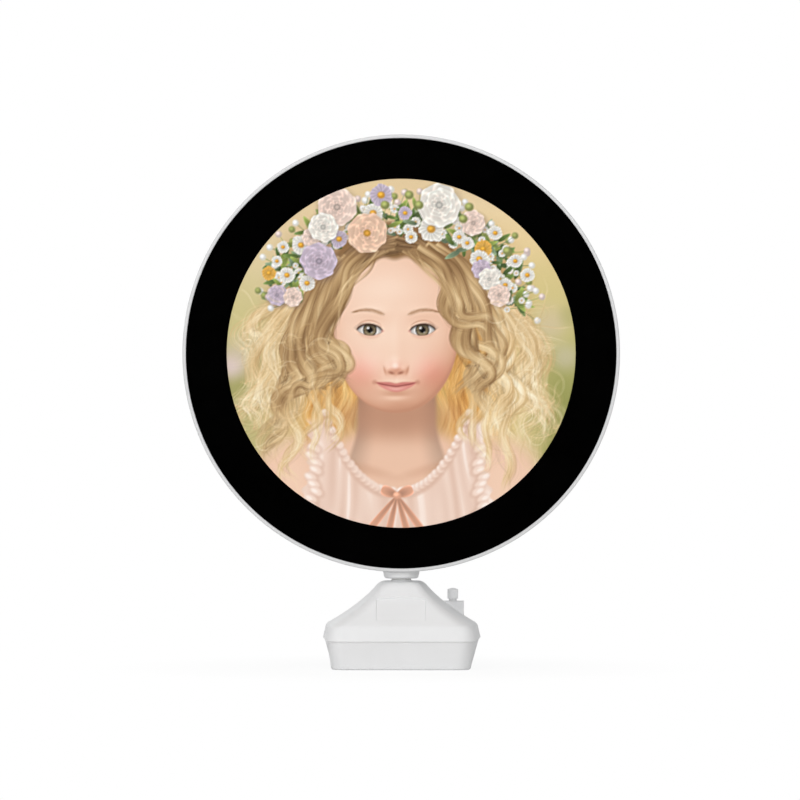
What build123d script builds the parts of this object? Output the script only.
from build123d import *
import os
from math import cos, dist, pi, radians, sin, sqrt, tan

# Round light-up photo frame: a lit picture in a round head that swivels on a moulded battery base.
# Millimetres. X runs to the right, Y to the back and Z up.
# The origin is on the table, under the swivel axis.

# Clearances
running_clearance = 0.05
slide_clearance = 0.1
loose_clearance = 0.3

# How far a cut runs past the face it cuts, and how close two sizes count as equal
overshoot = 1.0
match_limit = 1e-4

# Rim, pane and picture
head_radius = 109.2
rim_front = 12.0
rim_depth = 22.0
rim_width = 1.7
rim_wall = 2.2
rim_edge_radius = 0.7
pane_thickness = 2.0
pane_recess = 0.2
mask_thickness = 0.2
border_width = 20.4
tape_thickness = 0.4
tape_width = 7.0
ledge_width = 9.5
ledge_thickness = 2.0
print_thickness = 0.3
diffuser_thickness = 2.0

# Rear cover
cover_depth = 4.0
cover_wall = 2.0
cover_edge_radius = 3.2
cover_panel_radius = 80.0
cover_panel_depth = 0.5
spigot_length = 3.0
spigot_wall = 1.4
clamp_wall = 1.8
clamp_inset = 1.0
clamp_notch_width = 8.0
clamp_band = 3.0
cover_screw_count = 6
cover_boss_radius = 3.0

# Screws of the cover and of the lamp board
cover_screw_radius = 1.1
cover_screw_head_radius = 2.3
cover_screw_head_height = 1.2
cover_screw_grip = 8.0
board_screw_radius = 0.9
board_screw_head_radius = 1.8
board_screw_head_height = 1.3
board_screw_grip = 2.4

# Lamp board
board_radius = 66.0
board_width = 12.0
board_thickness = 1.6
board_standoff = 3.6
standoff_radius = 2.6
board_screw_count = 3
lamp_count = 12
lamp_length = 3.5
lamp_width = 2.8
lamp_height = 0.9
connector_width = 8.0
connector_height = 8.0
connector_depth = 5.5

# Swivel neck
tube_radius = 3.0
tube_bore_radius = 2.0
boss_height = 1.2
boss_top_radius = 4.75
boss_foot_radius = 6.75
boss_flare = 0.35
thrust_washer_thickness = 0.4
collar_height = 3.4
collar_top_radius = 9.3
collar_foot_radius = 8.7
collar_edge_radius = 1.4
nut_pad_height = 4.5
nut_pad_half_width = 11.0
nut_pad_back = 6.5
nut_flats = 10.0
nut_height = 4.0
tube_end_stand = 1.2
guide_length = 4.6
guide_radius = 6.2
wave_washer_thickness = 0.6
stop_washer_thickness = 1.0
stop_washer_radius = 5.5
stop_tab_reach = 10.0
stop_tab_width = 4.0
stop_post_width = 4.0
stop_post_depth = 2.8

# Cells and their box, round which the base is built
cell_radius = 7.1
cell_length = 50.5
cell_edge_radius = 0.5
cell_nub_radius = 2.7
cell_nub_height = 1.0
cell_gap = 0.6
cell_headroom = 0.6
cell_row_y = -3.6
plate_thickness = 0.5
plate_width = 11.0
plate_height = 11.0
plate_tab_width = 3.0
plate_tab_reach = 2.8
spring_length = 5.5
spring_turns = 4
spring_wire_radius = 0.35
spring_base_radius = 4.2
spring_tip_radius = 2.4
gap_steps = 24
box_wall = 1.5
box_ceiling = 1.5

# Lower tub and its door
parting_height = 13.5
tub_wall = 2.0
tub_floor = 3.0
tub_room_side = 3.2
tub_room_corner = 2.5
tub_room_front = 0.7
tub_room_back = 0.7
tub_side_taper = 3.9
tub_corner_taper = 1.2
tub_front_taper = 2.1
tub_back_taper = 0.9
tub_bevel = 0.6
lip_height = 1.5
lip_thickness = 1.2
lip_root = 1.5
door_thickness = 1.7
door_recess = 0.4
door_lap = 0.5
door_tongue_reach = 1.0
door_tongue_thickness = 1.0
grip_count = 3
grip_pitch = 2.6
grip_width = 1.2
grip_length = 16.0
grip_depth = 0.3
grip_inset = 4.0

# Upper shell
base_height = 43.0
skirt_height = 7.8
skirt_side_draft = 1.6
skirt_front_draft = 1.0
skirt_back_draft = 0.6
parting_step = 0.9
skirt_bevel = 0.8
shell_wall = 2.0
shoulder_drop = 1.2
crown_inset = 1.0
crown_wall = 2.4
crown_half_width = 11.0
crown_front_half_width = 8.6
crown_front = 15.5
crown_back = 22.8
flank_hollow = 2.8
flank_steps = 4
front_hollow = 1.0
front_corner_radius = 7.8
crown_corner_radius = 4.0
back_corner_radius = 2.5
shoulder_round_low = 1.6
shoulder_round_high = 0.9
crown_round_low = 2.4
crown_round_in = 3.0
case_screw_x = 13.0
case_screw_radius = 1.3
case_screw_head_radius = 2.3
case_screw_head_height = 1.8
case_screw_grip = 8.0
case_boss_radius = 3.2

# Label recess in the front slope
label_half_width = 12.1
label_height = 9.7
label_rise = 3.0
label_arch = 1.2
label_depth_low = 0.3
label_depth_high = 1.1
label_draft = 28.0

# Switch and its tower
tower_x = 25.8
tower_reach = 8.4
tower_height = 18.8
tower_wall = 1.4
tower_edge_radius = 0.5
tower_lid = 2.0
switch_width = 8.0
switch_height = 9.5
switch_clearance = 0.2
switch_rib_height = 3.0
switch_rib_width = 1.2
switch_post_width = 3.0
cap_radius = 2.7
cap_height = 5.4
cap_dome = 0.8
cap_stand = 1.2
cap_travel = 2.0
cap_hole_clearance = 0.35
stem_radius = 1.95
stem_length = 8.2
terminal_rise = 2.6
terminal_spread = 2.5
terminal_width = 1.8
terminal_thickness = 0.6
terminal_reach = 3.1

# Power inlet
jack_x = -8.0
jack_rise = 0.5
jack_radius = 3.9
jack_flange_radius = 5.5
jack_flange_thickness = 1.2
jack_panel = 2.0
jack_boss_radius = 6.8
jack_length = 13.0
jack_bore_radius = 2.8
jack_bore_depth = 9.5
jack_pin_radius = 1.0
jack_pin_length = 8.5
jack_tail_length = 1.6
jack_nut_flats = 10.0
jack_nut_height = 2.2
jack_nut_turn = 30.0

# Leads
lead_radius = 0.9
lead_bend = 3.0

# Depths in the head, from the front edge of the rim back
rim_front_y = -rim_front
pane_front_y = rim_front_y + pane_recess
pane_back_y = pane_front_y + pane_thickness
mask_back_y = pane_back_y + mask_thickness
ledge_front_y = mask_back_y + tape_thickness
ledge_back_y = ledge_front_y + ledge_thickness
print_back_y = mask_back_y + print_thickness
diffuser_back_y = print_back_y + diffuser_thickness
rim_back_y = rim_front_y + rim_depth
cover_back_y = rim_back_y + cover_depth
cover_inner_y = cover_back_y - cover_wall
board_back_y = cover_inner_y - board_standoff
board_front_y = board_back_y - board_thickness

# Radii in the head
rebate_radius = head_radius - rim_width
pane_radius = rebate_radius - slide_clearance
picture_radius = rebate_radius - border_width
ledge_radius = rebate_radius - ledge_width
sheet_radius = ledge_radius - loose_clearance
rim_inner_radius = head_radius - rim_wall
spigot_radius = rim_inner_radius - loose_clearance
spigot_inner_radius = spigot_radius - spigot_wall
clamp_radius = sheet_radius - clamp_inset
clamp_inner_radius = clamp_radius - clamp_wall
cover_screw_circle = (clamp_radius + spigot_inner_radius) / 2
board_inner_radius = board_radius - board_width
board_circle = (board_radius + board_inner_radius) / 2

# Heights on the swivel axis
boss_top = base_height + boss_height
collar_bottom = boss_top + thrust_washer_thickness
head_bottom = collar_bottom + collar_height
head_centre = head_bottom + head_radius
nut_pad_top = head_bottom + nut_pad_height
upper_nut_top = nut_pad_top + nut_height
tube_top = upper_nut_top + tube_end_stand
guide_bottom = base_height - crown_wall - guide_length
wave_bottom = guide_bottom - wave_washer_thickness
stop_bottom = wave_bottom - stop_washer_thickness
lower_nut_bottom = stop_bottom - nut_height
tube_bottom = lower_nut_bottom - tube_end_stand

# The battery box
cell_pitch = 2 * cell_radius + cell_gap
cell_ys = [cell_row_y + step * cell_pitch for step in (-1, 0, 1)]
case_screw_ys = [(a + b) / 2 for a, b in zip(cell_ys, cell_ys[1:])]
door_top = door_recess + door_thickness
cell_axis_z = door_top + loose_clearance + cell_radius
box_inner_top = cell_axis_z + cell_radius + cell_headroom
box_top = box_inner_top + box_ceiling
box_inner_half = (2 * plate_thickness + cell_length + spring_length) / 2
box_half = box_inner_half + box_wall
box_inner_front = cell_ys[0] - cell_pitch / 2
box_inner_back = cell_ys[-1] + cell_pitch / 2
box_front = box_inner_front - box_wall
box_back = box_inner_back + box_wall
plate_tab_z = cell_axis_z + cell_radius / 3
lead_tab_x = box_half + plate_tab_reach / 2

# Rear half width, front, back and front half width of the tub's floor and rim and of the shell's levels
tub_low = (
    box_half + tub_room_side + tub_wall,
    -box_front + tub_room_front + tub_wall,
    box_back + tub_room_back + tub_wall,
    box_half + tub_room_corner + tub_wall,
)
tub_high = (
    tub_low[0] + tub_side_taper,
    tub_low[1] + tub_front_taper,
    tub_low[2] + tub_back_taper,
    tub_low[3] + tub_corner_taper,
)
skirt_low = tuple(size + parting_step for size in tub_high)
skirt_drafts = (skirt_side_draft, skirt_front_draft, skirt_back_draft, skirt_side_draft)
shoulder = tuple(size - draft for size, draft in zip(skirt_low, skirt_drafts))
crown = (crown_half_width, crown_front, crown_back, crown_front_half_width)
shoulder_height = parting_height + skirt_height

# The switch tower
tower_size = switch_width + 2 * switch_clearance + 2 * tower_wall
tower_back = skirt_low[2] + tower_reach
tower_front = tower_back - tower_size
tower_y = (tower_back + tower_front) / 2
tower_top = parting_height + tower_height
tower_ceiling = tower_top - tower_wall
switch_top = tower_ceiling - switch_rib_height
switch_bottom = switch_top - switch_height
switch_front = tower_y - switch_width / 2
terminal_z = switch_bottom + terminal_rise
terminal_y = switch_front - terminal_reach
cap_bottom = tower_top + cap_stand
stem_bottom = cap_bottom - stem_length

# The power inlet
jack_seat_y = shoulder[2] - jack_flange_thickness
jack_panel_y = jack_seat_y - jack_panel
jack_end_y = jack_seat_y - jack_length
jack_face_y = jack_seat_y + jack_flange_thickness
jack_floor_y = jack_face_y - jack_bore_depth
jack_height = box_top + jack_nut_flats / sqrt(3) + jack_rise

head_axis = Axis((0, 0, head_centre), (0, 1, 0))


def past(low, high):
    """A span that runs past both of its ends, for a cut right through."""
    return low - overshoot, high + overshoot


def block(x_span, y_span, z_span):
    """A box between two values along each axis."""
    spans = (x_span, y_span, z_span)
    sizes = [high - low for low, high in spans]
    centre = [(low + high) / 2 for low, high in spans]
    return Pos(*centre) * Box(*sizes)


def upright(radius, z_span, x=0.0, y=0.0):
    """A round bar along Z."""
    low, high = z_span
    return Pos(x, y, (low + high) / 2) * Cylinder(radius, high - low)


def level(radius, y_span, x=0.0, z=0.0):
    """A round bar along Y."""
    low, high = y_span
    return Pos(x, (low + high) / 2, z) * Rot(90, 0, 0) * Cylinder(radius, high - low)


def head_disc(radius, y_span, inner_radius=0.0):
    """A disc or ring about the head's level axis."""
    disc = level(radius, y_span, 0, head_centre)
    if inner_radius:
        disc -= level(inner_radius, past(*y_span), 0, head_centre)
    return disc


def washer(radius, bore_radius, z_span):
    """A flat ring about the swivel axis."""
    return upright(radius, z_span) - upright(bore_radius, past(*z_span))


def hex_prism(flats, height):
    """A hexagonal prism along Z from the origin up."""
    return extrude(RegularPolygon(flats / 2, 6, major_radius=False), height)


def around_head(radius, degrees):
    """The X and Z of a place on a circle about the head's axis, counted from the right."""
    angle = radians(degrees)
    return radius * cos(angle), head_centre + radius * sin(angle)


def even_angles(count, first):
    """Equally spaced angles round the head, in degrees."""
    return [first + 360 * step / count for step in range(count)]


def circles_at(solid, radius, y):
    """The round edges of a turned solid that have one radius and one depth."""
    rounds = solid.edges().filter_by(GeomType.CIRCLE)
    same_radius = [edge for edge in rounds if abs(edge.radius - radius) < match_limit]
    return [edge for edge in same_radius if abs(edge.arc_center.Y - y) < match_limit]


def rounded_corner(corner, before, after, radius):
    """Start, middle and end of the arc that rounds a corner between two neighbours."""
    toward_before = (before - corner).normalized()
    toward_after = (after - corner).normalized()
    half_angle = radians(toward_before.get_angle(toward_after)) / 2
    run = radius / tan(half_angle)
    bisector = (toward_before + toward_after).normalized()
    middle = corner + bisector * (radius / sin(half_angle) - radius)
    return corner + toward_before * run, middle, corner + toward_after * run


def plan_outline(size, front_radius, back_radius, z):
    """A level outline of the base with rounded corners, wider at the back than at the front."""
    half, front, back, front_half = size
    corners = [
        Vector(-front_half, -front),
        Vector(front_half, -front),
        Vector(half, back),
        Vector(-half, back),
    ]
    radii = [front_radius, front_radius, back_radius, back_radius]
    neighbours = zip(corners[-1:] + corners[:-1], corners, corners[1:] + corners[:1], radii)
    arcs = [rounded_corner(corner, before, after, radius) for before, corner, after, radius in neighbours]
    edges = []
    for arc, following in zip(arcs, arcs[1:] + arcs[:1]):
        edges.append(ThreePointArc(*arc))
        edges.append(Line(arc[2], following[0]))
    return Pos(0, 0, z) * make_face(edges)


def shrink(size, inset):
    """A level size drawn in by one wall on every side."""
    return tuple(value - inset for value in size)


def between(low, high, share):
    """A level size part of the way from one level to another."""
    return tuple(a + (b - a) * share for a, b in zip(low, high))


def lead(points):
    """A round lead along straight runs joined by tangent bends."""
    path = FilletPolyline(*points, radius=lead_bend)
    return sweep(Plane(path @ 0, z_dir=path % 0) * Circle(lead_radius), path=path)


# Head


def make_bezel_ring():
    ring = head_disc(head_radius, (rim_front_y, rim_back_y))
    ring = fillet(circles_at(ring, head_radius, rim_front_y), rim_edge_radius)
    ring -= head_disc(rebate_radius, (rim_front_y - overshoot, ledge_front_y))
    ring -= head_disc(ledge_radius, past(ledge_front_y, ledge_back_y))
    ring -= head_disc(rim_inner_radius, (ledge_back_y, rim_back_y + overshoot))
    pad_y = (ledge_back_y, nut_pad_back)
    pad = block((-nut_pad_half_width, nut_pad_half_width), pad_y, (head_bottom, nut_pad_top))
    ring += pad & head_disc(head_radius - rim_wall / 2, pad_y)
    for degrees in even_angles(cover_screw_count, 0):
        x, z = around_head(cover_screw_circle, degrees)
        ring += level(cover_boss_radius, (ledge_back_y, cover_inner_y), x, z)
        pilot_y = (cover_inner_y - cover_screw_grip - overshoot, cover_inner_y + overshoot)
        ring -= level(cover_screw_radius + running_clearance, pilot_y, x, z)
    return ring - upright(tube_radius + running_clearance, past(head_bottom, nut_pad_top))


def make_front_pane():
    return head_disc(pane_radius, (pane_front_y, pane_back_y))


def make_border_mask():
    return head_disc(pane_radius, (pane_back_y, mask_back_y), picture_radius)


def make_pane_tape():
    tape_radius = pane_radius - loose_clearance
    return head_disc(tape_radius, (mask_back_y, ledge_front_y), tape_radius - tape_width)


def make_photo_print():
    return head_disc(sheet_radius, (mask_back_y, print_back_y))


def make_diffuser_panel():
    return head_disc(sheet_radius, (print_back_y, diffuser_back_y))


def make_back_cover():
    cover = head_disc(head_radius, (rim_back_y, cover_back_y))
    cover = fillet(circles_at(cover, head_radius, cover_back_y), cover_edge_radius)
    cover -= head_disc(spigot_inner_radius, (rim_back_y - overshoot, cover_inner_y))
    cover -= head_disc(cover_panel_radius, (cover_back_y - cover_panel_depth, cover_back_y + overshoot))
    cover += head_disc(spigot_radius, (rim_back_y - spigot_length, rim_back_y), spigot_inner_radius)
    clamp = head_disc(clamp_radius, (diffuser_back_y, cover_inner_y), clamp_inner_radius)
    notch_x = (-clamp_notch_width / 2, clamp_notch_width / 2)
    notch_y = (diffuser_back_y + clamp_band, cover_inner_y)
    cover += clamp - block(notch_x, notch_y, (head_bottom, head_centre - clamp_inner_radius / 2))
    for degrees in even_angles(cover_screw_count, 0):
        x, z = around_head(cover_screw_circle, degrees)
        seat_y = cover_back_y - cover_screw_head_height
        cover -= level(cover_screw_head_radius + loose_clearance, (seat_y, cover_back_y + overshoot), x, z)
        cover -= level(cover_screw_radius + loose_clearance, (cover_inner_y - overshoot, seat_y), x, z)
    for degrees in even_angles(board_screw_count, 90):
        x, z = around_head(board_circle, degrees)
        cover += level(standoff_radius, (board_back_y, cover_inner_y), x, z)
        pilot_y = (board_back_y - overshoot, board_back_y + board_screw_grip + loose_clearance)
        cover -= level(board_screw_radius + running_clearance, pilot_y, x, z)
    return cover


def make_cover_screws():
    seat_y = cover_back_y - cover_screw_head_height
    screws = []
    for degrees in even_angles(cover_screw_count, 0):
        x, z = around_head(cover_screw_circle, degrees)
        head = level(cover_screw_head_radius, (seat_y, cover_back_y), x, z)
        screws.append(head + level(cover_screw_radius, (cover_inner_y - cover_screw_grip, seat_y), x, z))
    return Compound(children=screws)


def make_led_board():
    board = head_disc(board_radius, (board_front_y, board_back_y), board_inner_radius)
    for degrees in even_angles(board_screw_count, 90):
        x, z = around_head(board_circle, degrees)
        board -= level(board_screw_radius + slide_clearance, past(board_front_y, board_back_y), x, z)
    return board


def make_led_chips():
    chips = []
    for degrees in even_angles(lamp_count, 180 / lamp_count):
        x, z = around_head(board_circle, degrees)
        place = Pos(x, board_front_y - lamp_height / 2, z) * Rot(0, -degrees, 0)
        chips.append(place * Box(lamp_width, lamp_height, lamp_length))
    return Compound(children=chips)


def make_board_screws():
    head_y = (board_front_y - board_screw_head_height, board_front_y)
    shank_y = (board_front_y, board_back_y + board_screw_grip)
    screws = []
    for degrees in even_angles(board_screw_count, 90):
        x, z = around_head(board_circle, degrees)
        head = level(board_screw_head_radius, head_y, x, z)
        screws.append(head + level(board_screw_radius, shank_y, x, z))
    return Compound(children=screws)


def make_lead_connector():
    half = connector_width / 2
    middle = head_centre - board_circle
    z_span = (middle - connector_height / 2, middle + connector_height / 2)
    return block((-half, half), (board_front_y - connector_depth, board_front_y), z_span)


def make_lamp_lead():
    end_y = board_front_y - connector_depth / 2
    end_z = head_centre - board_circle - connector_height / 2
    first_bend = tube_top + (end_z - tube_top) / 3
    second_bend = end_z - (end_z - tube_top) / 3
    return lead([(0, 0, tube_bottom), (0, 0, first_bend), (0, end_y, second_bend), (0, end_y, end_z)])


# Swivel neck


def make_neck_collar():
    reach = head_bottom + collar_height
    edge = collar_edge_radius
    taper = (collar_top_radius - collar_foot_radius) * (reach - collar_bottom) / collar_height
    near = edge * (1 - sqrt(0.5))
    bore = tube_radius + running_clearance
    profile = make_face(
        [
            Line((bore, collar_bottom), (collar_foot_radius - edge, collar_bottom)),
            ThreePointArc(
                (collar_foot_radius - edge, collar_bottom),
                (collar_foot_radius - near, collar_bottom + near),
                (collar_foot_radius, collar_bottom + edge),
            ),
            Line((collar_foot_radius, collar_bottom + edge), (collar_foot_radius + taper, reach)),
            Line((collar_foot_radius + taper, reach), (bore, reach)),
            Line((bore, reach), (bore, collar_bottom)),
        ]
    )
    collar = revolve(Plane.XZ * profile, Axis.Z)
    return collar - head_disc(head_radius, (-2 * collar_top_radius, 2 * collar_top_radius))


def make_swivel_tube():
    return washer(tube_radius, tube_bore_radius, (tube_bottom, tube_top))


def make_nut(bottom):
    nut = Pos(0, 0, bottom) * hex_prism(nut_flats, nut_height)
    return nut - upright(tube_radius + running_clearance, past(bottom, bottom + nut_height))


def make_thrust_washer():
    return washer(boss_top_radius, tube_radius + slide_clearance, (boss_top, collar_bottom))


def make_wave_washer():
    return washer(boss_top_radius, tube_radius + slide_clearance, (wave_bottom, guide_bottom))


def make_stop_washer():
    plate_z = (stop_bottom, wave_bottom)
    half = stop_tab_width / 2
    plate = upright(stop_washer_radius, plate_z)
    plate += block((-half, half), (-stop_tab_reach, 0), plate_z)
    return plate - upright(tube_radius + running_clearance, past(stop_bottom, wave_bottom))


# Base


def flank_size(share):
    """A level size part of the way up the hollow slopes."""
    half, front, back, front_half = between(shoulder, crown, share)
    hollow = 4 * share * (1 - share)
    side_hollow = flank_hollow * hollow
    return half - side_hollow, front - front_hollow * hollow, back, front_half - side_hollow


def flank_height(share):
    return shoulder_height + (base_height - shoulder_height) * share


def flank_radius(share):
    return front_corner_radius + (crown_corner_radius - front_corner_radius) * share


flank_shares = [step / flank_steps for step in range(flank_steps + 1)]


def outer_outline(size, share, z):
    """A level outline of the upper shell's outside."""
    return plan_outline(size, flank_radius(share), back_corner_radius, z)


def rounded_band(below, corner, above):
    """A smooth band that rounds a corner off; a level is a size, a share of the slope and a height."""

    def blend(a, b, c):
        return (a + 2 * b + c) / 4

    size = tuple(blend(a, b, c) for a, b, c in zip(below[0], corner[0], above[0]))
    middle = (size, blend(below[1], corner[1], above[1]), blend(below[2], corner[2], above[2]))
    return loft([outer_outline(*at) for at in (below, middle, above)])


def slope_level(z):
    """Size, share and height of the slopes at a height."""
    share = (z - shoulder_height) / (base_height - shoulder_height)
    return flank_size(share), share, z


def make_shell_body():
    """The outside of the upper shell without tower, boss and recess."""
    skirt_foot = (shrink(skirt_low, skirt_bevel), 0, parting_height)
    skirt_edge = (skirt_low, 0, parting_height + skirt_bevel)
    skirt_share = shoulder_round_low / skirt_height
    skirt_top = (between(shoulder, skirt_low, skirt_share), 0, shoulder_height - shoulder_round_low)
    slope_foot = slope_level(shoulder_height + shoulder_round_high)
    slope_top = slope_level(base_height - crown_round_low)
    edge = (shrink(crown, crown_round_in), 1, base_height)
    skirt = loft([outer_outline(*at) for at in (skirt_foot, skirt_edge, skirt_top)], ruled=True)
    slope_levels = [slope_level(flank_height(s)) for s in flank_shares[1:-1]]
    slopes = loft([outer_outline(*at) for at in (slope_foot, *slope_levels, slope_top)])
    shoulder_band = rounded_band(skirt_top, (shoulder, 0, shoulder_height), slope_foot)
    crown_band = rounded_band(slope_top, (crown, 1, base_height), edge)
    return skirt + shoulder_band + slopes + crown_band


def make_shell_cavity():
    """The inside of the upper shell, one wall in from its outside."""
    low = shrink(skirt_low, shell_wall)
    high = shrink(shoulder, shell_wall)
    inner_front = front_corner_radius - shell_wall
    inner_back = back_corner_radius - shell_wall
    springing = shoulder_height - shoulder_drop
    ceiling = base_height - crown_wall
    cavity = loft(
        [
            plan_outline(low, inner_front, inner_back, parting_height),
            plan_outline(high, inner_front, inner_back, springing),
        ],
        ruled=True,
    )
    sections = []
    for s in flank_shares:
        inset = shell_wall + (crown_inset - shell_wall) * s
        half, front, back, front_half = shrink(flank_size(s), inset)
        size = (half, front, flank_size(s)[2] - shell_wall, front_half)
        z = springing + (ceiling - springing) * s
        sections.append(plan_outline(size, flank_radius(s) - inset, inner_back, z))
    return cavity + loft(sections)


def make_label_cutter():
    """A cutter with an arched top and drafted walls: the recess is deeper at its top than at its foot."""
    low = shoulder_height + label_rise
    peak = low + label_height + label_arch
    foot = Vector(0, -slope_level(low)[0][1] + label_depth_low, low)
    head = Vector(0, -slope_level(peak)[0][1] + label_depth_high, peak)
    upward = head - foot
    floor = Plane(origin=foot, x_dir=Vector(1, 0, 0), z_dir=Vector(1, 0, 0).cross(upward))
    peak_along = upward.length
    high_along = peak_along - label_arch
    outline = make_face(
        [
            Line((-label_half_width, high_along), (-label_half_width, 0)),
            Line((-label_half_width, 0), (label_half_width, 0)),
            Line((label_half_width, 0), (label_half_width, high_along)),
            ThreePointArc((label_half_width, high_along), (0, peak_along), (-label_half_width, high_along)),
        ]
    )
    return extrude(floor * outline, 2 * label_depth_high, taper=-label_draft)


def make_boss():
    """The flared neck boss on the crown."""
    foot = base_height - crown_wall / 2
    flare_radius = boss_top_radius + (boss_foot_radius - boss_top_radius) * boss_flare
    profile = make_face(
        [
            Line((0, foot), (boss_foot_radius, foot)),
            Line((boss_foot_radius, foot), (boss_foot_radius, base_height)),
            ThreePointArc(
                (boss_foot_radius, base_height),
                (flare_radius, base_height + boss_height * boss_flare),
                (boss_top_radius, boss_top),
            ),
            Line((boss_top_radius, boss_top), (0, boss_top)),
            Line((0, boss_top), (0, foot)),
        ]
    )
    return revolve(Plane.XZ * profile, Axis.Z)


def tower_span(inset):
    """X and Y spans of the tower, drawn in by a wall."""
    half = tower_size / 2 - inset
    return (tower_x - half, tower_x + half), (tower_y - half, tower_y + half)


def make_tower():
    """The switch tower's outside."""
    tower = block(*tower_span(0), (parting_height, tower_top))
    return fillet(tower.edges().filter_by(Axis.Z), tower_edge_radius)


def make_upper_shell():
    outside = make_shell_body()
    shell = outside - make_shell_cavity()

    inner = upright(guide_radius, (guide_bottom, base_height))
    post_low_y = stop_tab_width / 2 + slide_clearance
    post_y = (post_low_y, post_low_y + stop_post_depth)
    post_z = (stop_bottom - loose_clearance, base_height - crown_wall / 2)
    for side in (-1, 1):
        post_x = sorted((side * stop_tab_reach, side * (stop_tab_reach - stop_post_width)))
        inner += block(post_x, post_y, post_z)
        for y in case_screw_ys:
            inner += upright(case_boss_radius, (box_top, base_height), side * case_screw_x, y)
    inner += level(jack_boss_radius, (jack_panel_y, jack_face_y), jack_x, jack_height)
    shell += inner & outside
    for side in (-1, 1):
        for y in case_screw_ys:
            pilot_z = past(box_top, box_top + case_screw_grip)
            shell -= upright(case_screw_radius + running_clearance, pilot_z, side * case_screw_x, y)

    cavity_x, cavity_y = tower_span(tower_wall)
    tower = make_tower() - block(cavity_x, cavity_y, (parting_height - overshoot, tower_ceiling))
    rib_z = (switch_top, tower_ceiling)
    between_ribs = (cavity_x[0] + switch_rib_width, cavity_x[1] - switch_rib_width)
    ribs = block(cavity_x, cavity_y, rib_z) - block(between_ribs, cavity_y, rib_z)
    shell -= block(cavity_x, cavity_y, (parting_height, tower_ceiling))
    shell += (tower + ribs) - make_shell_cavity()
    window_y = (terminal_y, cavity_y[0])
    window_z = (parting_height - overshoot, terminal_z + 2 * lead_radius)
    shell -= block(cavity_x, window_y, window_z)
    shell -= upright(cap_radius + cap_hole_clearance, past(tower_ceiling, tower_top), tower_x, tower_y)

    shell += make_boss()
    shell -= upright(tube_radius + running_clearance, past(guide_bottom, boss_top))
    shell -= make_label_cutter()
    flange_bore = jack_flange_radius + slide_clearance
    shell -= level(flange_bore, (jack_seat_y, jack_face_y + overshoot), jack_x, jack_height)
    panel_y = past(jack_panel_y, jack_seat_y)
    return shell - level(jack_radius + slide_clearance, panel_y, jack_x, jack_height)


def make_lower_tub():
    def outline(z, inset):
        size = shrink(between(tub_low, tub_high, z / parting_height), inset)
        return plan_outline(size, front_corner_radius - inset, back_corner_radius - inset, z)

    tub = loft([outline(0, tub_bevel), outline(tub_bevel, 0), outline(parting_height, 0)], ruled=True)
    tub -= loft([outline(tub_floor, tub_wall), outline(parting_height, tub_wall)], ruled=True)

    lip_inset = shell_wall + skirt_side_draft * lip_height / skirt_height + loose_clearance
    lip_low = parting_height - lip_root
    lip_outer = plan_outline(shrink(skirt_low, lip_inset), front_corner_radius, back_corner_radius, lip_low)
    lip_inner = plan_outline(
        shrink(skirt_low, lip_inset + lip_thickness), front_corner_radius, back_corner_radius, lip_low
    )
    tub += extrude(lip_outer - lip_inner, lip_root + lip_height)

    box_y = (box_front, box_back)
    tub += block((-box_half, box_half), box_y, (tub_floor / 2, box_top))
    inner_x = (-box_inner_half, box_inner_half)
    tub -= block(inner_x, (box_inner_front, box_inner_back), (-overshoot, box_inner_top))

    door_half = box_inner_half + door_lap + slide_clearance
    tongue_half = door_half + door_tongue_reach
    slot_y = (box_inner_front - door_lap - slide_clearance, tub_high[2] + overshoot)
    groove_low = door_top - door_tongue_thickness - slide_clearance
    tub -= block((-door_half, door_half), slot_y, (-overshoot, door_top + slide_clearance))
    tub -= block((-tongue_half, tongue_half), slot_y, (groove_low, door_top + slide_clearance))

    for side in (-1, 1):
        for y in case_screw_ys:
            hole_z = past(box_inner_top, box_top)
            tub -= upright(case_screw_radius + loose_clearance, hole_z, side * case_screw_x, y)
        slit_half = plate_tab_width / 2 + slide_clearance
        slit_y = tab_y(side)
        slit_x = sorted((side * (box_inner_half - overshoot), side * (box_half + overshoot)))
        slit_rise = plate_thickness / 2 + slide_clearance
        slit_z = (plate_tab_z - slit_rise, plate_tab_z + slit_rise)
        tub -= block(slit_x, (slit_y - slit_half, slit_y + slit_half), slit_z)

    lid_x, lid_y = tower_span(0)
    tub += block(lid_x, (tub_high[2] - tub_wall, lid_y[1]), (parting_height - tower_lid, parting_height))
    post_half = switch_post_width / 2
    post_x = (tower_x - post_half, tower_x + post_half)
    post_y = (tower_y - post_half, tower_y + post_half)
    return tub + block(post_x, post_y, (parting_height - tower_lid, switch_bottom))


def make_battery_door():
    front_y = box_inner_front - door_lap
    back_y = tub_low[2] - slide_clearance
    door_half = box_inner_half + door_lap
    door = block((-door_half, door_half), (front_y, back_y), (door_recess, door_top))
    tongue_half = door_half + door_tongue_reach
    tongue_z = (door_top - door_tongue_thickness, door_top)
    door += block((-tongue_half, tongue_half), (front_y, back_y), tongue_z)
    grip_x = (-grip_length / 2, grip_length / 2)
    grip_z = (door_recess - overshoot, door_recess + grip_depth)
    for step in range(grip_count):
        y = back_y - grip_inset - step * grip_pitch
        door -= block(grip_x, (y - grip_width / 2, y + grip_width / 2), grip_z)
    return door


def tab_y(side):
    """The row of the lead's tab: at the front cell on the left, at the rear cell on the right."""
    return cell_ys[0] if side < 0 else cell_ys[-1]


def spring_side(index):
    """The side of a cell's negative end: the cells lie head to tail."""
    return -1 if index % 2 == 0 else 1


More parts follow.
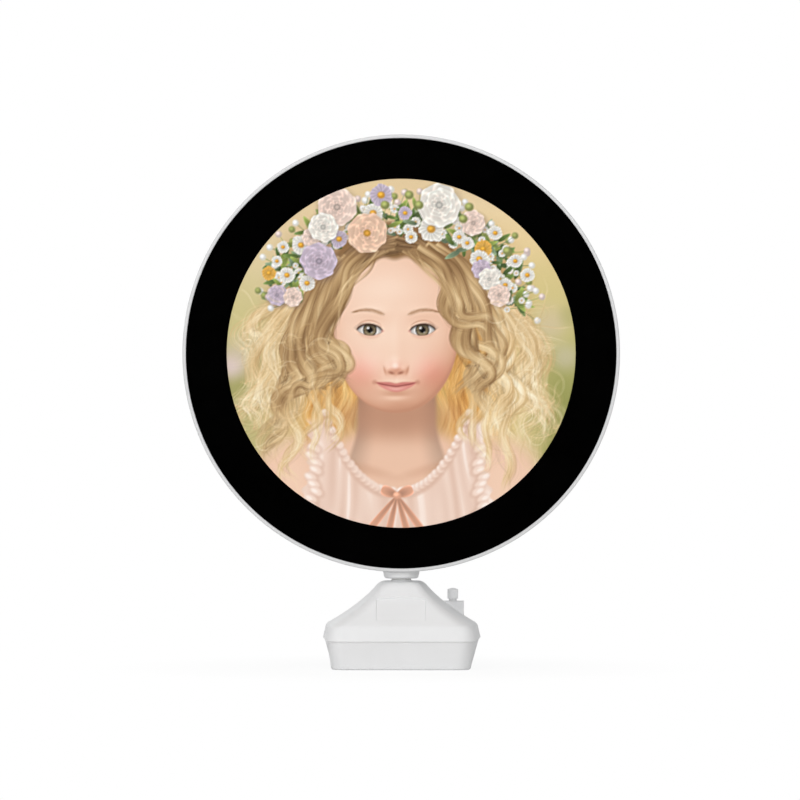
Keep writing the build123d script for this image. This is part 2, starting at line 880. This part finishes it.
def make_battery_cells():
    cells = []
    body_length = cell_length - cell_nub_height
    for index, y in enumerate(cell_ys):
        body = Cylinder(cell_radius, body_length)
        body = fillet(body.edges().filter_by(GeomType.CIRCLE), cell_edge_radius)
        nub = upright(cell_nub_radius, (body_length / 2, body_length / 2 + cell_nub_height))
        side = spring_side(index)
        middle = side * (box_inner_half - plate_thickness - spring_length - body_length / 2)
        cells.append(Pos(middle, y, cell_axis_z) * Rot(0, -90 * side, 0) * (body + nub))
    return Compound(children=cells)


def make_contact_plates():
    def strip(side, first, last):
        x_span = sorted((side * box_inner_half, side * (box_inner_half - plate_thickness)))
        y_span = (first - plate_width / 2, last + plate_width / 2)
        return block(x_span, y_span, (cell_axis_z - plate_height / 2, cell_axis_z + plate_height / 2))

    front, middle, back = cell_ys
    plates = [strip(-1, middle, back), strip(1, front, middle)]
    for side in (-1, 1):
        y = tab_y(side)
        tab_x = sorted((side * (box_inner_half - plate_thickness), side * (box_half + plate_tab_reach)))
        tab_span = (y - plate_tab_width / 2, y + plate_tab_width / 2)
        tab_z = (plate_tab_z - plate_thickness / 2, plate_tab_z + plate_thickness / 2)
        plates.append(strip(side, y, y) + block(tab_x, tab_span, tab_z))
    return Compound(children=plates)


def spring_point(turn):
    """A place on the tapering coil, with its axis along Z and its base at zero."""
    share = turn / spring_turns
    radius = spring_base_radius + (spring_tip_radius - spring_base_radius) * share
    rise = spring_wire_radius + (spring_length - 2 * spring_wire_radius) * share
    return radius * cos(2 * pi * turn), radius * sin(2 * pi * turn), rise


def spring_self_gap():
    """The least gap between neighbouring turns of the wire, measured on points."""
    steps = gap_steps
    places = [spring_point(n / steps) for n in range(spring_turns * steps + 1)]
    gaps = [
        dist(a, b)
        for i, a in enumerate(places)
        for b in places[i + steps // 2:]
    ]
    return min(gaps) - 2 * spring_wire_radius


def make_contact_springs():
    arcs = []
    for n in range(4 * spring_turns):
        start, middle, end = n / 4, (n + 1 / 2) / 4, (n + 1) / 4
        arcs.append(ThreePointArc(spring_point(start), spring_point(middle), spring_point(end)))
    path = Wire(arcs)
    coil = sweep(Plane(path @ 0, z_dir=path % 0) * Circle(spring_wire_radius), path=path)
    springs = []
    for index, y in enumerate(cell_ys):
        side = spring_side(index)
        base = side * (box_inner_half - plate_thickness)
        springs.append(Pos(base, y, cell_axis_z) * Rot(0, -90 * side, 0) * coil)
    return Compound(children=springs)


def make_case_screws():
    head_z = (box_inner_top - case_screw_head_height, box_inner_top)
    shank_z = (box_inner_top, box_top + case_screw_grip)
    screws = []
    for x in (-case_screw_x, case_screw_x):
        for y in case_screw_ys:
            head = upright(case_screw_head_radius, head_z, x, y)
            screws.append(head + upright(case_screw_radius, shank_z, x, y))
    return Compound(children=screws)


# Switch, inlet and leads


def make_switch_body():
    half = switch_width / 2
    x_span = (tower_x - half, tower_x + half)
    body = block(x_span, (tower_y - half, tower_y + half), (switch_bottom, switch_top))
    bore_low = stem_bottom - cap_travel - loose_clearance
    return body - upright(stem_radius + slide_clearance, (bore_low, switch_top + overshoot), tower_x, tower_y)


def make_switch_terminals():
    half = terminal_width / 2
    tabs = []
    for side in (-1, 1):
        x = tower_x + side * terminal_spread
        z_span = (terminal_z - terminal_thickness / 2, terminal_z + terminal_thickness / 2)
        tabs.append(block((x - half, x + half), (terminal_y, switch_front), z_span))
    return Compound(children=tabs)


def make_switch_cap():
    top = cap_bottom + cap_height
    rim = top - cap_dome
    dome_radius = (cap_radius**2 + cap_dome**2) / (2 * cap_dome)
    profile = make_face(
        [
            Line((0, stem_bottom), (stem_radius, stem_bottom)),
            Line((stem_radius, stem_bottom), (stem_radius, cap_bottom)),
            Line((stem_radius, cap_bottom), (cap_radius, cap_bottom)),
            Line((cap_radius, cap_bottom), (cap_radius, rim)),
            RadiusArc((cap_radius, rim), (0, top), -dome_radius),
            Line((0, top), (0, stem_bottom)),
        ]
    )
    return Pos(tower_x, tower_y, 0) * revolve(Plane.XZ * profile, Axis.Z)


def make_dc_jack():
    jack = level(jack_radius, (jack_end_y, jack_seat_y), jack_x, jack_height)
    jack += level(jack_flange_radius, (jack_seat_y, jack_face_y), jack_x, jack_height)
    return jack - level(jack_bore_radius, (jack_floor_y, jack_face_y + overshoot), jack_x, jack_height)


def make_jack_nut():
    nut = Rot(90, 0, 0) * Rot(0, 0, jack_nut_turn) * hex_prism(jack_nut_flats, jack_nut_height)
    nut = Pos(jack_x, jack_panel_y, jack_height) * nut
    nut_y = past(jack_panel_y - jack_nut_height, jack_panel_y)
    return nut - level(jack_radius + running_clearance, nut_y, jack_x, jack_height)


def make_jack_contacts():
    pin = level(jack_pin_radius, (jack_floor_y, jack_floor_y + jack_pin_length), jack_x, jack_height)
    tail = level(jack_pin_radius, (jack_end_y - jack_tail_length, jack_end_y), jack_x, jack_height)
    return Compound(children=[pin, tail])


def make_switch_lead():
    x = tower_x - terminal_spread
    turn_y = jack_end_y + 3 * lead_radius
    return lead(
        [
            (0, 0, tube_bottom),
            (0, 0, terminal_z),
            (0, turn_y, terminal_z),
            (x, turn_y, terminal_z),
            (x, terminal_y, terminal_z),
        ]
    )


def make_battery_lead():
    x = tower_x + terminal_spread
    start_y = tab_y(1)
    start_z = plate_tab_z + plate_thickness / 2
    return lead(
        [
            (lead_tab_x, start_y, start_z),
            (lead_tab_x, start_y, terminal_z),
            (x, (start_y + terminal_y) / 2, terminal_z),
            (x, terminal_y, terminal_z),
        ]
    )


def make_jack_lead():
    end_y = tab_y(-1)
    end_z = plate_tab_z + plate_thickness / 2
    low_z = box_top + loose_clearance + lead_radius
    tail_y = jack_end_y - jack_tail_length
    return lead(
        [
            (jack_x, tail_y, jack_height),
            (jack_x, cell_row_y, jack_height),
            (-case_screw_x - 2 * case_boss_radius, cell_row_y, (jack_height + low_z) / 2),
            (-lead_tab_x, end_y, low_z),
            (-lead_tab_x, end_y, end_z),
        ]
    )


pieces = {
    "bezel_ring": make_bezel_ring(),
    "front_pane": make_front_pane(),
    "border_mask": make_border_mask(),
    "pane_tape": make_pane_tape(),
    "photo_print": make_photo_print(),
    "diffuser_panel": make_diffuser_panel(),
    "back_cover": make_back_cover(),
    "cover_screws": make_cover_screws(),
    "led_board": make_led_board(),
    "led_chips": make_led_chips(),
    "board_screws": make_board_screws(),
    "lead_connector": make_lead_connector(),
    "lamp_lead": make_lamp_lead(),
    "neck_collar": make_neck_collar(),
    "swivel_tube": make_swivel_tube(),
    "upper_nut": make_nut(nut_pad_top),
    "lower_nut": make_nut(lower_nut_bottom),
    "thrust_washer": make_thrust_washer(),
    "wave_washer": make_wave_washer(),
    "stop_washer": make_stop_washer(),
    "upper_shell": make_upper_shell(),
    "lower_tub": make_lower_tub(),
    "battery_door": make_battery_door(),
    "battery_cells": make_battery_cells(),
    "contact_plates": make_contact_plates(),
    "contact_springs": make_contact_springs(),
    "case_screws": make_case_screws(),
    "switch_body": make_switch_body(),
    "switch_terminals": make_switch_terminals(),
    "switch_cap": make_switch_cap(),
    "dc_jack": make_dc_jack(),
    "jack_nut": make_jack_nut(),
    "jack_contacts": make_jack_contacts(),
    "switch_lead": make_switch_lead(),
    "battery_lead": make_battery_lead(),
    "jack_lead": make_jack_lead(),
}

print("least gap between turns of a contact spring:", round(spring_self_gap(), 3), "mm")
os.makedirs("parts", exist_ok=True)
for node, piece in pieces.items():
    export_step(piece, f"parts/{node}.step")
